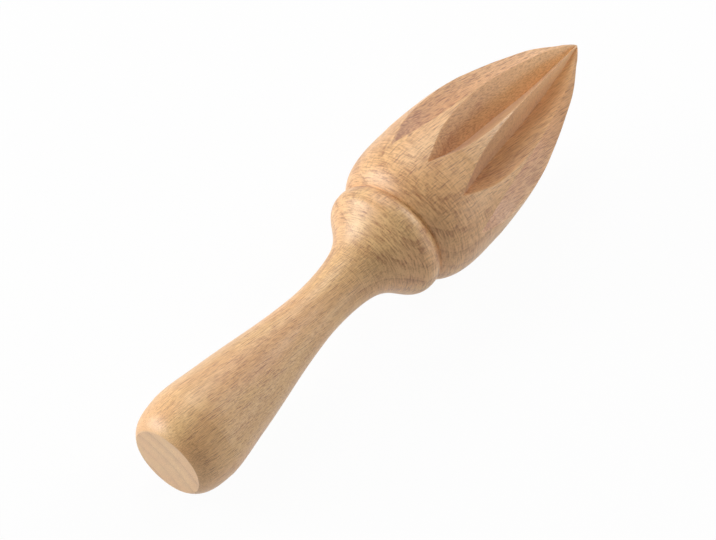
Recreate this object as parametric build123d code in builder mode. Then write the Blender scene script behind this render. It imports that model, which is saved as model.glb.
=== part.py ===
from build123d import *
import os
from math import atan2, degrees

os.makedirs("parts", exist_ok=True)

# Wooden citrus reamer: a turned beech handle, glued by its tenon into a fluted head.
# Each piece is turned upright about Z, with the butt face at zero, and then laid
# on its side, the way the reamer lies on a table.

# Length of the whole reamer
overall_length = 175.0

# Handle, from the butt face up: radii, and the height of each station above the one below
butt_face_radius = 10.4
bulge_radius = 14.0
bulge_height = 10.5
neck_radius = 7.0
neck_height = 63.0
collar_radius = 17.0
flare_length = 26.8
rim_step = 1.2
rim_length = 3.2

# Handle outline between those stations: (share of the height, share of the change in radius)
butt_round_shares = ((0.2, 0.52), (0.5, 0.83))
grip_taper_shares = ((0.17, 0.14), (0.34, 0.335), (0.51, 0.55), (0.68, 0.77), (0.84, 0.93))
collar_flare_shares = ((0.35, 0.06), (0.54, 0.19), (0.7, 0.46), (0.84, 0.83))

# Head: widest circle, above the joint with the handle, and nose
head_radius = 20.95
head_base_length = 20.5
nose_radius = 0.9

# Head outline under the widest circle, and from there to the nose, where the
# second value is a share of the head's radius
head_base_shares = ((0.06, 0.29), (0.2, 0.66), (0.4, 0.883), (0.65, 0.967))
head_taper_shares = ((0.14, 0.978), (0.31, 0.907), (0.48, 0.772), (0.65, 0.592), (0.8, 0.392), (0.91, 0.198))

# Flutes: each has a steep and a wide wall, in degrees from the radius through its lower tip
flute_count = 10
flute_entry_length = 8.5
steep_wall_angle = 35.5
wide_wall_angle = 43.7

# Valley of a flute from its lower tip to the nose: share of the way up, distance out and
# to the side as shares of the head's radius, and shares of the steep and the wide wall's angle
flute_shares = (
    (-0.03, 1.065, -0.010, 1.0, 1.0),
    (0.04, 0.907, 0.016, 1.0, 1.0),
    (0.08, 0.838, 0.030, 1.0, 1.0),
    (0.13, 0.759, 0.042, 1.0, 1.0),
    (0.19, 0.687, 0.049, 1.0, 1.0),
    (0.26, 0.627, 0.053, 1.0, 1.0),
    (0.34, 0.571, 0.057, 0.98, 1.0),
    (0.43, 0.509, 0.063, 0.94, 1.01),
    (0.5, 0.450, 0.068, 0.87, 1.0),
    (0.57, 0.391, 0.071, 0.80, 0.985),
    (0.64, 0.333, 0.068, 0.74, 0.97),
    (0.71, 0.276, 0.061, 0.71, 0.95),
    (0.79, 0.220, 0.049, 0.70, 0.95),
    (0.87, 0.149, 0.034, 0.70, 0.97),
    (0.94, 0.078, 0.018, 0.70, 0.98),
    (1.0, 0.032, 0.006, 0.70, 0.98),
)

# Glued joint
tenon_radius = 8.0
tenon_length = 24.0
tenon_chamfer = 1.0
glue_clearance = 0.1
glue_relief = 1.5

# Turn about the axis at which the reamer comes to rest, in degrees
rest_roll = 6.1


def between(start, end, shares):
    """Outline points from one (radius, height) station to the next."""
    run, rise = end[0] - start[0], end[1] - start[1]
    return [(start[0] + run * out, start[1] + rise * up) for up, out in shares]


# Stations of the turned outline
collar_height = neck_height + flare_length
joint_height = collar_height + rim_length
joint_radius = collar_radius - rim_step
head_height = joint_height + head_base_length
flute_height = head_height - flute_entry_length
butt_edge = (butt_face_radius, 0)
bulge = (bulge_radius, bulge_height)
neck = (neck_radius, neck_height)
collar = (collar_radius, collar_height)
joint_edge = (joint_radius, joint_height)
widest = (head_radius, head_height)
nose_edge = (nose_radius, overall_length - nose_radius)
nose_top = (0, overall_length)
upward = (0, 1)

# Handle, with its tenon
with BuildPart() as handle:
    with BuildSketch(Plane.XZ):
        with BuildLine():
            Spline(butt_edge, *between(butt_edge, bulge, butt_round_shares), bulge)
            Spline(bulge, *between(bulge, neck, grip_taper_shares), neck, tangents=(upward, upward))
            Spline(neck, *between(neck, collar, collar_flare_shares), collar, tangents=(upward, upward))
            TangentArc(collar, joint_edge, tangent=upward)
            Polyline(joint_edge, (0, joint_height), (0, 0), butt_edge)
        make_face()
    revolve(axis=Axis.Z)
    with Locations((0, 0, joint_height)):
        Cylinder(tenon_radius, tenon_length, align=(Align.CENTER, Align.CENTER, Align.MIN))
    chamfer(handle.edges().sort_by(Axis.Z)[-1], tenon_chamfer)

# Cutter for one flute: V sections up the valley, with the valley line at their points
flute_rise = overall_length - flute_height
with BuildPart() as flute_cutter:
    for up, out, side, steep_share, wide_share in flute_shares:
        valley = Vector(head_radius * out, head_radius * side)
        steep_end = valley + Vector(head_radius, 0).rotate(Axis.Z, steep_wall_angle * steep_share)
        wide_end = valley + Vector(head_radius, 0).rotate(Axis.Z, -wide_wall_angle * wide_share)
        with BuildSketch(Plane.XY.offset(flute_height + flute_rise * up)):
            with BuildLine():
                Polyline(valley, steep_end, wide_end, close=True)
            make_face()
    loft()

# Head, with its flutes and the socket for the tenon
taper_rise = overall_length - head_height
taper = [(head_radius * out, head_height + taper_rise * up) for up, out in head_taper_shares]
with BuildPart() as head:
    with BuildSketch(Plane.XZ):
        with BuildLine():
            Spline(joint_edge, *between(joint_edge, widest, head_base_shares), widest)
            Spline(widest, *taper, nose_edge)
            Polyline(nose_edge, nose_top, (0, joint_height), joint_edge)
        make_face()
    revolve(axis=Axis.Z)
    with PolarLocations(0, flute_count):
        add(flute_cutter.part, mode=Mode.SUBTRACT)
    with Locations((0, 0, joint_height)):
        Cylinder(
            tenon_radius + glue_clearance,
            tenon_length + glue_relief,
            align=(Align.CENTER, Align.CENTER, Align.MIN),
            mode=Mode.SUBTRACT,
        )

# Lay both pieces down on the bulge and the head, and set them on the ground
rest_radius, rest_height = between(joint_edge, widest, head_base_shares)[-1]
rest_tilt = degrees(atan2(rest_radius - bulge_radius, rest_height - bulge_height))
lay_down = Rot(Y=90 - rest_tilt) * Rot(Z=rest_roll)
handle.part.move(lay_down)
head.part.move(lay_down)
laid = handle.part.bounding_box().add(head.part.bounding_box())
seat = Pos(-laid.center().X, -laid.center().Y, -laid.min.Z)
handle.part.move(seat)
head.part.move(seat)

handle.part.label = "handle"
export_step(handle.part, "parts/handle.step")

head.part.label = "head"
export_step(head.part, "parts/head.step")

butt_centre = (seat * lay_down).position
print("butt face centre", butt_centre, "tilt", rest_tilt)
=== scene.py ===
"""Looks of a turned beech citrus reamer: its wood, and the pale studio that it lies in."""

from math import radians

import bpy
from bpy.props import FloatProperty, FloatVectorProperty, PointerProperty
from mathutils import Euler, Matrix, Quaternion, Vector

bl_info = {
    "name": "Wooden Citrus Reamer",
    "version": (1, 0, 0),
    "blender": (4, 5, 0),
    "location": "View3D > Sidebar > Reamer",
    "description": "Gives a turned beech citrus reamer its wood, and sets it in a pale studio",
    "category": "Object",
}

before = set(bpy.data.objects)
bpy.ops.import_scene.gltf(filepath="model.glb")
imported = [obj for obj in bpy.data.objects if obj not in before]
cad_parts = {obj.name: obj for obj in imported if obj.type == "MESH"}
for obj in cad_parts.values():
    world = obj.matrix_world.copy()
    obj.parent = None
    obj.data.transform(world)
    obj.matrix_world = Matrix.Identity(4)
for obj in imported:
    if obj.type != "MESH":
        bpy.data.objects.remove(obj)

MM = 0.001

# How the reamer lies: the middle of its butt face, the climb of its axis, and the turn about
# that axis that has the outer side of the growth rings face the camera
BUTT_CENTRE = Vector((-86.91, 0.0, 13.28)) * MM
AXIS_CLIMB = radians(4.05)
GRAIN_TURN = radians(-155.8)
GRAIN_FRAME = Matrix.Rotation(radians(90) - AXIS_CLIMB, 3, "Y") @ Matrix.Rotation(GRAIN_TURN, 3, "Z")

# Where the tree's pith ran, beside the axis, and how far from it the widths round it are true
PITH_MM = (-28.4, 10.0, 0.0)
RAY_RADIUS_MM = 40.0
# The fibres lean from the axis by this angle, and cross it at this height
FIBRE_LEAN = radians(8.5)
LEAN_CENTRE_MM = (0.0, 0.0, 90.0)
# How far the grain wanders, two ways across the axis and along it
DRIFT_MM = (1.6, 1.6, 6.0)

# Steps per millimetre of the patterns laid on the axis: two ways across it, and along it
DRIFT_SCALE = (0.04, 0.04, 0.012)
PATCH_SCALE = (0.09, 0.09, 0.03)
SANDING_SCALE = (0.3, 0.3, 3.2)
# Steps per millimetre of the patterns laid on the pith: out from it, round it, and along the fibres
FIBRE_SCALE = (3.0, 5.0, 0.22)
STREAK_SCALE = (0.2, 0.45, 0.03)

# Layers of flecks: millimetres from one to the next out from the pith, round it and along the
# fibres, how deep each runs outwards, its shares of the width and length below, and its seed
FLECK_LAYERS = (
    ((10.0, 1.2, 7.2), 13.0, 1.25, 1.0, 0.0),
    ((7.0, 0.5, 3.8), 9.0, 1.0, 0.55, 7.3),
    ((5.0, 0.32, 2.3), 7.0, 0.85, 0.34, 4.1),
)
FLECKS_LEFT_OUT = 0.3
# Darkness of a year's ring, from its inner edge to its outer one, and the faintest year's share
RING_STOPS = ((0.0, 0.8), (0.04, 0.15), (0.4, 0.0), (0.75, 0.25), (0.95, 0.5), (1.0, 0.8))
FAINTEST_YEAR = 0.45

# Values between which each thing grows from none to its full share, as inputs of a Map Range node
FLECK_EDGE = {"From Min": 1.0, "From Max": 0.6}
OFF_END_GRAIN = {"From Min": 0.45, "From Max": 0.85}
OFF_RAY_SHEET = {"From Min": 0.15, "From Max": 0.7}
STRAW_PATCHES = {"From Min": 0.38, "From Max": 0.62}
CUT_END_AND_SHADE_SLOPE = {"From Min": 0.06, "From Max": 0.2}
FIBRE_BROWN = {"From Min": 0.42, "From Max": 0.7, "To Max": 0.6}
STREAK_BROWN = {"From Min": 0.4, "From Max": 0.75, "To Max": 0.13}

# How things fade towards the butt (below) and the nose (above): millimetres from the butt, and
# the strengths left there, as inputs of a Map Range node
BUTT_SKIN = {"From Min": 0.25, "From Max": 0.05}
RINGS_BELOW = {"From Min": 55.0, "From Max": 74.0, "To Min": 0.25}
RINGS_ABOVE = {"From Min": 108.0, "From Max": 124.0, "To Min": 1.0, "To Max": 0.3}
SANDING_BELOW = {"From Min": 62.0, "From Max": 84.0, "To Min": 0.15}
SANDING_ABOVE = {"From Min": 102.0, "From Max": 118.0, "To Min": 1.0, "To Max": 0.1}
CUT_END_AND_SHADE_ABOVE = {"From Min": 118.0, "From Max": 142.0, "To Min": 1.0, "To Max": 0.0}
FLUTE_TONE_AND_SHADE_BELOW = {"From Min": 104.0, "From Max": 107.0}
FLUTE_TONE_AND_SHADE_ABOVE = {"From Min": 130.0, "From Max": 158.0, "To Min": 1.0, "To Max": 0.0}

# The head's turned outline from its widest circle to its nose, as shares of the way up and
# of its radius, and how far inside it a flute's face turns brown with the milled tone and
# painted shade, as shares of its radius
HEAD_RADIUS_MM = 20.95
HEAD_RISE = {"From Min": 113.5, "From Max": 175.0}
HEAD_OUTLINE = (
    (0.0, 1.0),
    (0.14, 0.978),
    (0.31, 0.907),
    (0.48, 0.772),
    (0.65, 0.592),
    (0.8, 0.392),
    (0.91, 0.198),
    (1.0, 0.04),
)
FLUTE_TONE_AND_SHADE_DEPTH = {"From Min": 0.006, "From Max": 0.04}

# How much of the late wood's colour each of these adds to the ground, for each unit of its own
SANDING_BROWN = 3.0
RING_BROWN = 0.62
# The cut ends' share below is partly painted shade in the groove and at the flutes' lower ends
CUT_END_AND_SHADE_BROWN = 0.15
# The flutes' share below is partly the milled tone and partly painted shade in their depths
FLUTE_TONE_AND_SHADE_BROWN = 0.22
# Share of end grain's colour on the butt, and of the flecks' stain off the butt and on it
BUTT_PALE = 0.3
FLECK_STAIN = {"To Min": 0.88, "To Max": 0.1}

# Depth of the bare wood's texture, and how much a fleck and a sanding mark add to a fibre's
TEXTURE_MM, TEXTURE_STRENGTH = 0.06, 0.6
FLECK_RELIEF, SANDING_RELIEF = -0.6, 0.5
ROUGHNESS_SPREAD = 0.08

# Studio, in metres
FLOOR_RADIUS = 3.0
FLOOR_DROP = 0.0001
FLOOR_SEEN_WHITE = 0.96
LAMP_AIM = Vector((0, 0, 0.02))
LAMP_DISTANCE = 0.9

# Camera, matched to the photograph: the point it looks at, how far off it stands, its turn about
# the vertical, its climb and its roll, and its lens and sensor in millimetres
CAMERA_AIM = Vector((-7.21, 1.40, 15.08)) * MM
CAMERA_DISTANCE = 990.1 * MM
CAMERA_TURN, CAMERA_CLIMB, CAMERA_ROLL = radians(305.17), radians(50.84), radians(4.108)
CAMERA_LENS, CAMERA_SENSOR = 187.93, 36
CAMERA_NEAR, CAMERA_FAR = 0.05, 20


def linear(hex_colour):
    """Linear RGB of an sRGB hex colour such as '#DEB892'."""
    shares = [int(hex_colour[at : at + 2], 16) / 255 for at in (1, 3, 5)]
    return [s / 12.92 if s <= 0.04045 else ((s + 0.055) / 1.055) ** 2.4 for s in shares]


def add_node(tree, kind, inputs=None, stops=None, **settings):
    """Adds a node with its settings. Inputs, by name or number, are values or sockets to link,
    and stops are the places and greys along a ramp."""
    node = tree.nodes.new(kind)
    for name, value in settings.items():
        setattr(node, name, value)
    for name, value in (inputs or {}).items():
        if isinstance(value, bpy.types.NodeSocket):
            tree.links.new(value, node.inputs[name])
        else:
            node.inputs[name].default_value = value
    if stops:
        ramp = node.color_ramp.elements
        while len(ramp) < len(stops):
            ramp.new(0.5)
        for element, (place, grey) in zip(ramp, stops):
            element.position = place
            element.color = (grey, grey, grey, 1)
    return node


def colour_prop(name, description, hex_colour):
    return FloatVectorProperty(
        name=name, description=description, default=linear(hex_colour), size=3, min=0, max=1, subtype="COLOR"
    )


def length_prop(name, description, length_mm):
    return FloatProperty(name=name, description=description, default=length_mm * MM, min=0, unit="LENGTH")


def power_prop(name, description, watts):
    return FloatProperty(name=name, description=description, default=watts, min=0, unit="POWER")


def share_prop(name, description, share):
    return FloatProperty(name=name, description=description, default=share, min=0, max=1, subtype="FACTOR")


class ReamerWood(bpy.types.PropertyGroup):
    """Grain and colours of the beech."""

    pink_tone: colour_prop("Pink tone", "Beech where it is rosier", "#F1BC7E")
    straw_tone: colour_prop("Straw tone", "Beech where it is yellower", "#F3C787")
    late_wood: colour_prop("Late wood", "Dark line that closes each year's ring", "#A26228")
    fleck: colour_prop("Fleck", "Short dark dashes, where rays reach the surface", "#80390A")
    end_grain: colour_prop("End grain", "Flat cut across the fibres", "#DFBE98")
    ring_width: length_prop("Ring width", "Width of one year's growth", 4.9)
    fleck_width: length_prop("Fleck width", "Width of a fleck, drawn wide enough to show", 0.16)
    fleck_length: length_prop("Fleck length", "Length of a fleck along the grain", 6.0)
    roughness: share_prop("Roughness", "Sanded, unvarnished wood", 0.43)


class ReamerStudio(bpy.types.PropertyGroup):
    """Powers of the studio's lamps."""

    key_power: power_prop("Key", "Power of the low lamp at the camera's left", 7.7)
    top_power: power_prop("Top", "Power of the high lamp behind", 2.5)
    nose_power: power_prop("Nose", "Power of the lamp past the nose", 2.7)
    side_power: power_prop("Side", "Power of the low lamp at the camera's right", 1.55)
    sky: share_prop("Sky", "Strength of the light from all round", 0.16)


def turned_beech(name, wood, fleck_seed, straw_share):
    """Steamed beech, turned and sanded. The eye sees a pale tan ground, wide soft rings whose
    dark edges cross the curves as arcs, short dark ray flecks along the grain, and across it
    the faint hatching that sandpaper left while the piece turned. The flutes grow browner with
    depth, partly the tone that the cutter left and partly painted shade, and faces that slope
    towards the nose darken with cut end grain and painted shade. Bare wood has a low sheen."""
    material = bpy.data.materials.new(name)
    material.use_nodes = True
    tree = material.node_tree
    tree.nodes.clear()

    # Millimetres in the wood: x faces the camera, y runs down and to its right, z to the nose
    place = add_node(tree, "ShaderNodeTexCoord").outputs
    grain = add_node(
        tree,
        "ShaderNodeMapping",
        {
            "Vector": place["Object"],
            "Location": BUTT_CENTRE,
            "Rotation": GRAIN_FRAME.to_euler("XYZ"),
            "Scale": (MM, MM, MM),
        },
        vector_type="TEXTURE",
    ).outputs[0]

    # The trunk never grew quite straight, so the grain wanders a little
    slow = add_node(tree, "ShaderNodeVectorMath", {0: grain, 1: DRIFT_SCALE}, operation="MULTIPLY").outputs[0]
    drift = add_node(tree, "ShaderNodeTexNoise", {"Vector": slow, "Scale": 1.0, "Detail": 2.0}).outputs["Color"]
    drift = add_node(tree, "ShaderNodeVectorMath", {0: drift, 1: (0.5, 0.5, 0.5)}, operation="SUBTRACT").outputs[0]
    drift = add_node(tree, "ShaderNodeVectorMath", {0: drift, 1: DRIFT_MM}, operation="MULTIPLY").outputs[0]
    bent = add_node(tree, "ShaderNodeVectorMath", {0: grain, 1: drift}, operation="ADD").outputs[0]
    bent = add_node(
        tree,
        "ShaderNodeVectorRotate",
        {"Vector": bent, "Center": LEAN_CENTRE_MM, "Angle": FIBRE_LEAN},
        rotation_type="X_AXIS",
    ).outputs[0]

    # The reamer was cut from beside the pith: its rings centre on a line 30 mm away
    from_pith = add_node(tree, "ShaderNodeVectorMath", {0: bent, 1: PITH_MM}, operation="SUBTRACT").outputs[0]
    parts = add_node(tree, "ShaderNodeSeparateXYZ", {0: from_pith}).outputs
    spoke = add_node(tree, "ShaderNodeCombineXYZ", {0: parts[0], 1: parts[1]}).outputs[0]
    pith_radius = add_node(tree, "ShaderNodeVectorMath", {0: spoke}, operation="LENGTH").outputs["Value"]
    pith_angle = add_node(tree, "ShaderNodeMath", {0: parts[1], 1: parts[0]}, operation="ARCTAN2").outputs[0]

    # A year's ring darkens towards its outer edge, by more in some years than in others
    years = add_node(tree, "ShaderNodeMath", {0: pith_radius, 1: wood.ring_width / MM}, operation="DIVIDE").outputs[0]
    season = add_node(tree, "ShaderNodeMath", {0: years}, operation="FRACT").outputs[0]
    year = add_node(tree, "ShaderNodeMath", {0: years}, operation="FLOOR").outputs[0]
    late = add_node(tree, "ShaderNodeValToRGB", {0: season}, stops=RING_STOPS).outputs[0]
    year_depth = add_node(tree, "ShaderNodeTexWhiteNoise", {"W": year}, noise_dimensions="1D").outputs[0]
    year_depth = add_node(tree, "ShaderNodeMapRange", {0: year_depth, "To Min": FAINTEST_YEAR}).outputs[0]
    late = add_node(tree, "ShaderNodeMath", {0: late, 1: year_depth}, operation="MULTIPLY").outputs[0]

    # Rays are thin upright sheets that run out from the pith. Where the surface cuts them they
    # show as dashes, drawn in three sizes and a little wider than the real ones
    arc = add_node(tree, "ShaderNodeMath", {0: pith_angle, 1: RAY_RADIUS_MM}, operation="MULTIPLY").outputs[0]
    rays = add_node(tree, "ShaderNodeCombineXYZ", {0: pith_radius, 1: arc, 2: parts[2]}).outputs[0]
    fleck = 0.0
    for pitch, depth_mm, width_share, length_share, seed in FLECK_LAYERS:
        size = (depth_mm, wood.fleck_width / MM * width_share, wood.fleck_length / MM * length_share)
        shift = fleck_seed + seed
        cells = add_node(
            tree,
            "ShaderNodeVectorMath",
            {0: rays, 1: tuple(1 / p for p in pitch), 2: (shift, shift, shift)},
            operation="MULTIPLY_ADD",
        ).outputs[0]
        nearest = add_node(
            tree, "ShaderNodeTexVoronoi", {"Vector": cells, "Scale": 1.0, "Randomness": 0.95}
        ).outputs["Position"]
        away = add_node(tree, "ShaderNodeVectorMath", {0: cells, 1: nearest}, operation="SUBTRACT").outputs[0]
        away = add_node(
            tree,
            "ShaderNodeVectorMath",
            {0: away, 1: tuple(2 * p / s for p, s in zip(pitch, size))},
            operation="MULTIPLY",
        ).outputs[0]
        reach = add_node(tree, "ShaderNodeVectorMath", {0: away}, operation="LENGTH").outputs["Value"]
        # A share of them is left out, and the others differ in strength
        chance = add_node(tree, "ShaderNodeTexWhiteNoise", {"Vector": nearest}).outputs[0]
        chance = add_node(tree, "ShaderNodeMapRange", {0: chance, "From Min": FLECKS_LEFT_OUT}).outputs[0]
        inside = add_node(
            tree, "ShaderNodeMapRange", {0: reach, **FLECK_EDGE}, interpolation_type="SMOOTHSTEP"
        ).outputs[0]
        dash = add_node(tree, "ShaderNodeMath", {0: inside, 1: chance}, operation="MULTIPLY").outputs[0]
        fleck = add_node(tree, "ShaderNodeMath", {0: fleck, 1: dash}, operation="MAXIMUM").outputs[0]

    # Faces cut square across the fibres, and faces that lie along the sheets, show no dashes
    facing = add_node(
        tree,
        "ShaderNodeVectorRotate",
        {"Vector": place["Normal"], "Rotation": GRAIN_FRAME.to_euler("XYZ")},
        rotation_type="EULER_XYZ",
        invert=True,
    ).outputs[0]
    outward = add_node(tree, "ShaderNodeVectorMath", {0: spoke}, operation="NORMALIZE").outputs[0]
    outward = add_node(
        tree, "ShaderNodeVectorMath", {0: facing, 1: outward}, operation="DOT_PRODUCT"
    ).outputs["Value"]
    outward = add_node(tree, "ShaderNodeMath", {0: outward, 1: 2.0}, operation="POWER").outputs[0]
    endward = add_node(tree, "ShaderNodeSeparateXYZ", {0: facing}).outputs[2]
    off_sheet = add_node(
        tree, "ShaderNodeMath", {0: endward, 1: endward, 2: outward}, operation="MULTIPLY_ADD"
    ).outputs[0]
    crossed = add_node(tree, "ShaderNodeMath", {0: outward, 1: off_sheet}, operation="DIVIDE").outputs[0]
    crossed = add_node(tree, "ShaderNodeMapRange", {0: crossed, **OFF_END_GRAIN}).outputs[0]
    off_sheet = add_node(tree, "ShaderNodeMapRange", {0: off_sheet, **OFF_RAY_SHEET}).outputs[0]
    crossed = add_node(tree, "ShaderNodeMath", {0: crossed, 1: off_sheet}, operation="MULTIPLY").outputs[0]
    fleck = add_node(tree, "ShaderNodeMath", {0: fleck, 1: crossed}, operation="MULTIPLY").outputs[0]

    # Fibres and vessels, drawn coarser than the real 0.1 mm ones, which are too fine to show
    fine = add_node(tree, "ShaderNodeVectorMath", {0: rays, 1: FIBRE_SCALE}, operation="MULTIPLY").outputs[0]
    fibre = add_node(
        tree, "ShaderNodeTexNoise", {"Vector": fine, "Scale": 1.0, "Detail": 3.0, "Roughness": 0.6}
    ).outputs["Fac"]
    wide = add_node(tree, "ShaderNodeVectorMath", {0: rays, 1: STREAK_SCALE}, operation="MULTIPLY").outputs[0]
    streak = add_node(tree, "ShaderNodeTexNoise", {"Vector": wide, "Scale": 1.0, "Detail": 2.0}).outputs["Fac"]
    broad = add_node(tree, "ShaderNodeVectorMath", {0: bent, 1: PATCH_SCALE}, operation="MULTIPLY").outputs[0]
    patch = add_node(tree, "ShaderNodeTexNoise", {"Vector": broad, "Scale": 1.0, "Detail": 1.0}).outputs["Fac"]

    # Lines of late wood fade on the slim grip, where the cut runs along them, and on the head's taper
    height = add_node(tree, "ShaderNodeSeparateXYZ", {0: grain}).outputs[2]
    butt = add_node(tree, "ShaderNodeMapRange", {0: height, **BUTT_SKIN}).outputs[0]
    shown = add_node(tree, "ShaderNodeMapRange", {0: height, **RINGS_BELOW}).outputs[0]
    shown = add_node(tree, "ShaderNodeMath", {0: shown, 1: butt}, operation="MAXIMUM").outputs[0]
    carved = add_node(tree, "ShaderNodeMapRange", {0: height, **RINGS_ABOVE}).outputs[0]
    shown = add_node(tree, "ShaderNodeMath", {0: shown, 1: carved}, operation="MULTIPLY").outputs[0]
    late = add_node(tree, "ShaderNodeMath", {0: late, 1: shown}, operation="MULTIPLY").outputs[0]

    # Faces that slope towards the nose cut the fibres short, and cut ends look darker. This
    # darkening is partly that end grain and partly painted shade, in the groove beside the
    # collar's rim and in the lower ends of the flutes. It shows most there, and only faintly on
    # the grip and on the head between the flutes
    cut_end_and_shade = add_node(tree, "ShaderNodeMapRange", {0: endward, **CUT_END_AND_SHADE_SLOPE}).outputs[0]
    fade = add_node(tree, "ShaderNodeMapRange", {0: height, **CUT_END_AND_SHADE_ABOVE}).outputs[0]
    cut_end_and_shade = add_node(tree, "ShaderNodeMath", {0: cut_end_and_shade, 1: fade}, operation="MULTIPLY").outputs[0]

    # The flutes darken with depth inside the head's turned outline: partly the browner tone
    # that the cutter left, and partly painted shade in the flutes' hollows. A flute is wherever
    # the surface lies inside the head's turned outline
    rise = add_node(tree, "ShaderNodeMapRange", {0: height, **HEAD_RISE}).outputs[0]
    outline = add_node(tree, "ShaderNodeValToRGB", {0: rise}, stops=HEAD_OUTLINE).outputs[0]
    beside = add_node(tree, "ShaderNodeSeparateXYZ", {0: grain}).outputs
    axial = add_node(tree, "ShaderNodeCombineXYZ", {0: beside[0], 1: beside[1]}).outputs[0]
    axial = add_node(tree, "ShaderNodeVectorMath", {0: axial}, operation="LENGTH").outputs["Value"]
    axial = add_node(tree, "ShaderNodeMath", {0: axial, 1: HEAD_RADIUS_MM}, operation="DIVIDE").outputs[0]
    depth = add_node(tree, "ShaderNodeMath", {0: outline, 1: axial}, operation="SUBTRACT").outputs[0]
    depth = add_node(tree, "ShaderNodeMapRange", {0: depth, **FLUTE_TONE_AND_SHADE_DEPTH}).outputs[0]
    start = add_node(tree, "ShaderNodeMapRange", {0: height, **FLUTE_TONE_AND_SHADE_BELOW}).outputs[0]
    fade = add_node(tree, "ShaderNodeMapRange", {0: height, **FLUTE_TONE_AND_SHADE_ABOVE}).outputs[0]
    flute_tone_and_shade = add_node(tree, "ShaderNodeMath", {0: depth, 1: start}, operation="MULTIPLY").outputs[0]
    flute_tone_and_shade = add_node(tree, "ShaderNodeMath", {0: flute_tone_and_shade, 1: fade}, operation="MULTIPLY").outputs[0]

    # Sanding marks run round the piece and show where the cut crosses the fibres' slope. They
    # are drawn coarser than the scratches of real grit, which are too fine to show
    hoop = add_node(tree, "ShaderNodeVectorMath", {0: grain, 1: SANDING_SCALE}, operation="MULTIPLY").outputs[0]
    sanding = add_node(
        tree, "ShaderNodeTexNoise", {"Vector": hoop, "Scale": 1.0, "Detail": 3.0, "Roughness": 0.65}
    ).outputs["Fac"]
    start = add_node(tree, "ShaderNodeMapRange", {0: height, **SANDING_BELOW}).outputs[0]
    fade = add_node(tree, "ShaderNodeMapRange", {0: height, **SANDING_ABOVE}).outputs[0]
    scored = add_node(tree, "ShaderNodeMath", {0: start, 1: fade}, operation="MULTIPLY").outputs[0]
    sanding = add_node(tree, "ShaderNodeMath", {0: sanding, 1: 0.5}, operation="SUBTRACT").outputs[0]
    sanding = add_node(tree, "ShaderNodeMath", {0: sanding, 1: scored}, operation="MULTIPLY").outputs[0]

    # Ground colour, browner along each of these, paler across the butt, and stained by flecks
    patch = add_node(tree, "ShaderNodeMapRange", {0: patch, **STRAW_PATCHES, "To Max": straw_share}).outputs[0]
    tone = add_node(
        tree,
        "ShaderNodeMix",
        {0: patch, 6: (*wood.pink_tone, 1), 7: (*wood.straw_tone, 1)},
        data_type="RGBA",
    ).outputs[2]
    brown_and_shade = add_node(tree, "ShaderNodeMapRange", {0: fibre, **FIBRE_BROWN}).outputs[0]
    dull = add_node(tree, "ShaderNodeMapRange", {0: streak, **STREAK_BROWN}).outputs[0]
    brown_and_shade = add_node(tree, "ShaderNodeMath", {0: brown_and_shade, 1: dull}, operation="ADD").outputs[0]
    # Among these, the cut ends and the flutes add painted shade as well as the wood's own tone
    for mark, share in (
        (sanding, SANDING_BROWN),
        (late, RING_BROWN),
        (cut_end_and_shade, CUT_END_AND_SHADE_BROWN),
        (flute_tone_and_shade, FLUTE_TONE_AND_SHADE_BROWN),
    ):
        brown_and_shade = add_node(tree, "ShaderNodeMath", {0: mark, 1: share, 2: brown_and_shade}, operation="MULTIPLY_ADD").outputs[0]
    tone = add_node(tree, "ShaderNodeMix", {0: brown_and_shade, 6: tone, 7: (*wood.late_wood, 1)}, data_type="RGBA").outputs[2]
    pale = add_node(tree, "ShaderNodeMath", {0: butt, 1: BUTT_PALE}, operation="MULTIPLY").outputs[0]
    tone = add_node(tree, "ShaderNodeMix", {0: pale, 6: tone, 7: (*wood.end_grain, 1)}, data_type="RGBA").outputs[2]
    stain = add_node(tree, "ShaderNodeMapRange", {0: butt, **FLECK_STAIN}).outputs[0]
    stain = add_node(tree, "ShaderNodeMath", {0: fleck, 1: stain}, operation="MULTIPLY").outputs[0]
    tone = add_node(tree, "ShaderNodeMix", {0: stain, 6: tone, 7: (*wood.fleck, 1)}, data_type="RGBA").outputs[2]

    # Open fibres and flecks lie a few hundredths of a millimetre below the sanded surface
    relief = add_node(
        tree, "ShaderNodeMath", {0: fleck, 1: FLECK_RELIEF, 2: fibre}, operation="MULTIPLY_ADD"
    ).outputs[0]
    relief = add_node(
        tree, "ShaderNodeMath", {0: sanding, 1: SANDING_RELIEF, 2: relief}, operation="MULTIPLY_ADD"
    ).outputs[0]
    bump = add_node(
        tree,
        "ShaderNodeBump",
        {"Strength": TEXTURE_STRENGTH, "Distance": TEXTURE_MM * MM, "Height": relief},
    ).outputs[0]
    smooth, coarse = wood.roughness - ROUGHNESS_SPREAD, wood.roughness + ROUGHNESS_SPREAD
    rough = add_node(tree, "ShaderNodeMapRange", {0: fibre, "To Min": smooth, "To Max": coarse}).outputs[0]
    shader = add_node(
        tree,
        "ShaderNodeBsdfPrincipled",
        {
            "Base Color": tone,
            "Roughness": rough,
            "IOR": 1.5,
            "Specular IOR Level": 0.85,
            "Sheen Weight": 0.25,
            "Normal": bump,
        },
    ).outputs[0]
    add_node(tree, "ShaderNodeOutputMaterial", {"Surface": shader})
    return material


class REAMER_OT_handle(bpy.types.Operator):
    """Gives the turned handle its beech"""

    bl_idname = "reamer.handle"
    bl_label = "Finish the Handle"

    def execute(self, context):
        wood = context.scene.reamer_wood
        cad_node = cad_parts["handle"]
        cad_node.data.materials.clear()
        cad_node.data.materials.append(turned_beech("steamed_beech_handle", wood, fleck_seed=0.0, straw_share=1.0))
        return {"FINISHED"}


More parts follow.
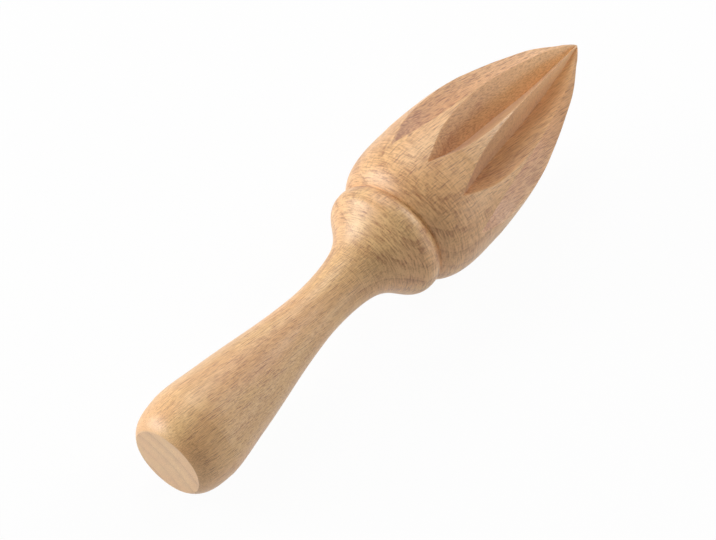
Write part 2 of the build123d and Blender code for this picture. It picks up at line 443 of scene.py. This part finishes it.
class REAMER_OT_head(bpy.types.Operator):
    """Gives the fluted head its beech"""

    bl_idname = "reamer.head"
    bl_label = "Finish the Head"

    def execute(self, context):
        wood = context.scene.reamer_wood
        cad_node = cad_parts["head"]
        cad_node.data.materials.clear()
        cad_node.data.materials.append(turned_beech("steamed_beech_head", wood, fleck_seed=3.1, straw_share=0.55))
        return {"FINISHED"}


def share_seen_white(tree, share):
    """Share of plain white that the camera and reflections see in the studio."""
    seen = 0.0
    rays = add_node(tree, "ShaderNodeLightPath").outputs
    for kind in ("Is Camera Ray", "Is Glossy Ray", "Is Transmission Ray"):
        seen = add_node(tree, "ShaderNodeMath", {0: seen, 1: rays[kind]}, operation="MAXIMUM").outputs[0]
    return add_node(tree, "ShaderNodeMath", {0: seen, 1: share}, operation="MULTIPLY").outputs[0]


class REAMER_OT_stage(bpy.types.Operator):
    """Sets the pale floor, the soft lamps and the camera"""

    bl_idname = "reamer.stage"
    bl_label = "Set the Stage"

    def execute(self, context):
        scene = context.scene
        studio = scene.reamer_studio
        scene.view_settings.view_transform = "Standard"

        # A white table top, seen almost as plain white, with a trace of the shadows on it
        bpy.ops.object.select_all(action="DESELECT")
        bpy.ops.mesh.primitive_circle_add(
            vertices=96, radius=FLOOR_RADIUS, fill_type="NGON", location=(0, 0, -FLOOR_DROP)
        )
        floor = context.object
        floor.name = "floor"
        paint = bpy.data.materials.new("white_table")
        paint.use_nodes = True
        tree = paint.node_tree
        tree.nodes.clear()
        matt = add_node(tree, "ShaderNodeBsdfDiffuse", {"Color": (*linear("#F4F4F2"), 1)}).outputs[0]
        white = add_node(tree, "ShaderNodeEmission", {"Strength": 1.0}).outputs[0]
        seen = share_seen_white(tree, FLOOR_SEEN_WHITE)
        mixed = add_node(tree, "ShaderNodeMixShader", {0: seen, 1: matt, 2: white}).outputs[0]
        add_node(tree, "ShaderNodeOutputMaterial", {"Surface": mixed})
        floor.data.materials.append(paint)

        world = bpy.data.worlds.new("studio")
        world.use_nodes = True
        scene.world = world
        tree = world.node_tree
        tree.nodes.clear()
        dim = add_node(tree, "ShaderNodeBackground", {"Strength": studio.sky, "Color": (1, 1, 1, 1)}).outputs[0]
        white = add_node(tree, "ShaderNodeBackground", {"Strength": 1.0, "Color": (1, 1, 1, 1)}).outputs[0]
        seen = share_seen_white(tree, 1.0)
        mixed = add_node(tree, "ShaderNodeMixShader", {0: seen, 1: dim, 2: white}).outputs[0]
        add_node(tree, "ShaderNodeOutputWorld", {"Surface": mixed})

        # Round soft lamps: the way to each from the reamer, its width in metres and its power
        for name, way, width, power in (
            ("key", (-0.53, 0.81, 0.26), 0.7, studio.key_power),
            ("top", (0.36, 0.53, 0.77), 0.5, studio.top_power),
            ("nose", (0.78, -0.23, 0.58), 0.4, studio.nose_power),
            ("side", (0.5, -0.86, 0.1), 0.5, studio.side_power),
        ):
            way = Vector(way).normalized()
            turn = way.to_track_quat("Z", "Y")
            bpy.ops.object.light_add(
                type="AREA", location=LAMP_AIM + way * LAMP_DISTANCE, rotation=turn.to_euler()
            )
            lamp = context.object
            lamp.name = name
            lamp.data.shape = "DISK"
            lamp.data.size = width
            lamp.data.energy = power

        back = Euler((radians(90) - CAMERA_CLIMB, 0, CAMERA_TURN)).to_matrix() @ Vector((0, 0, 1))
        turn = back.to_track_quat("Z", "Y") @ Quaternion((0, 0, 1), CAMERA_ROLL)
        bpy.ops.object.camera_add(location=CAMERA_AIM + back * CAMERA_DISTANCE, rotation=turn.to_euler())
        camera = context.object
        camera.name = "camera"
        camera.data.sensor_width = CAMERA_SENSOR
        camera.data.lens = CAMERA_LENS
        camera.data.clip_start = CAMERA_NEAR
        camera.data.clip_end = CAMERA_FAR
        scene.camera = camera
        return {"FINISHED"}


class REAMER_PT_panel(bpy.types.Panel):
    """Lists the reamer's steps"""

    bl_label = "Citrus Reamer"
    bl_space_type = "VIEW_3D"
    bl_region_type = "UI"
    bl_category = "Reamer"

    def draw(self, context):
        for group in (context.scene.reamer_wood, context.scene.reamer_studio):
            for name in group.__annotations__:
                self.layout.prop(group, name)
        for step in STEPS:
            self.layout.operator(step.bl_idname)


STEPS = (REAMER_OT_handle, REAMER_OT_head, REAMER_OT_stage)
CLASSES = (ReamerWood, ReamerStudio, *STEPS, REAMER_PT_panel)


def register():
    for one in CLASSES:
        bpy.utils.register_class(one)
    bpy.types.Scene.reamer_wood = PointerProperty(type=ReamerWood)
    bpy.types.Scene.reamer_studio = PointerProperty(type=ReamerStudio)


def unregister():
    del bpy.types.Scene.reamer_wood
    del bpy.types.Scene.reamer_studio
    for one in reversed(CLASSES):
        bpy.utils.unregister_class(one)


def main():
    register()
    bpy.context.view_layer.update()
    bpy.ops.reamer.handle()
    bpy.ops.reamer.head()
    bpy.ops.reamer.stage()


if __name__ == "__main__":
    main()
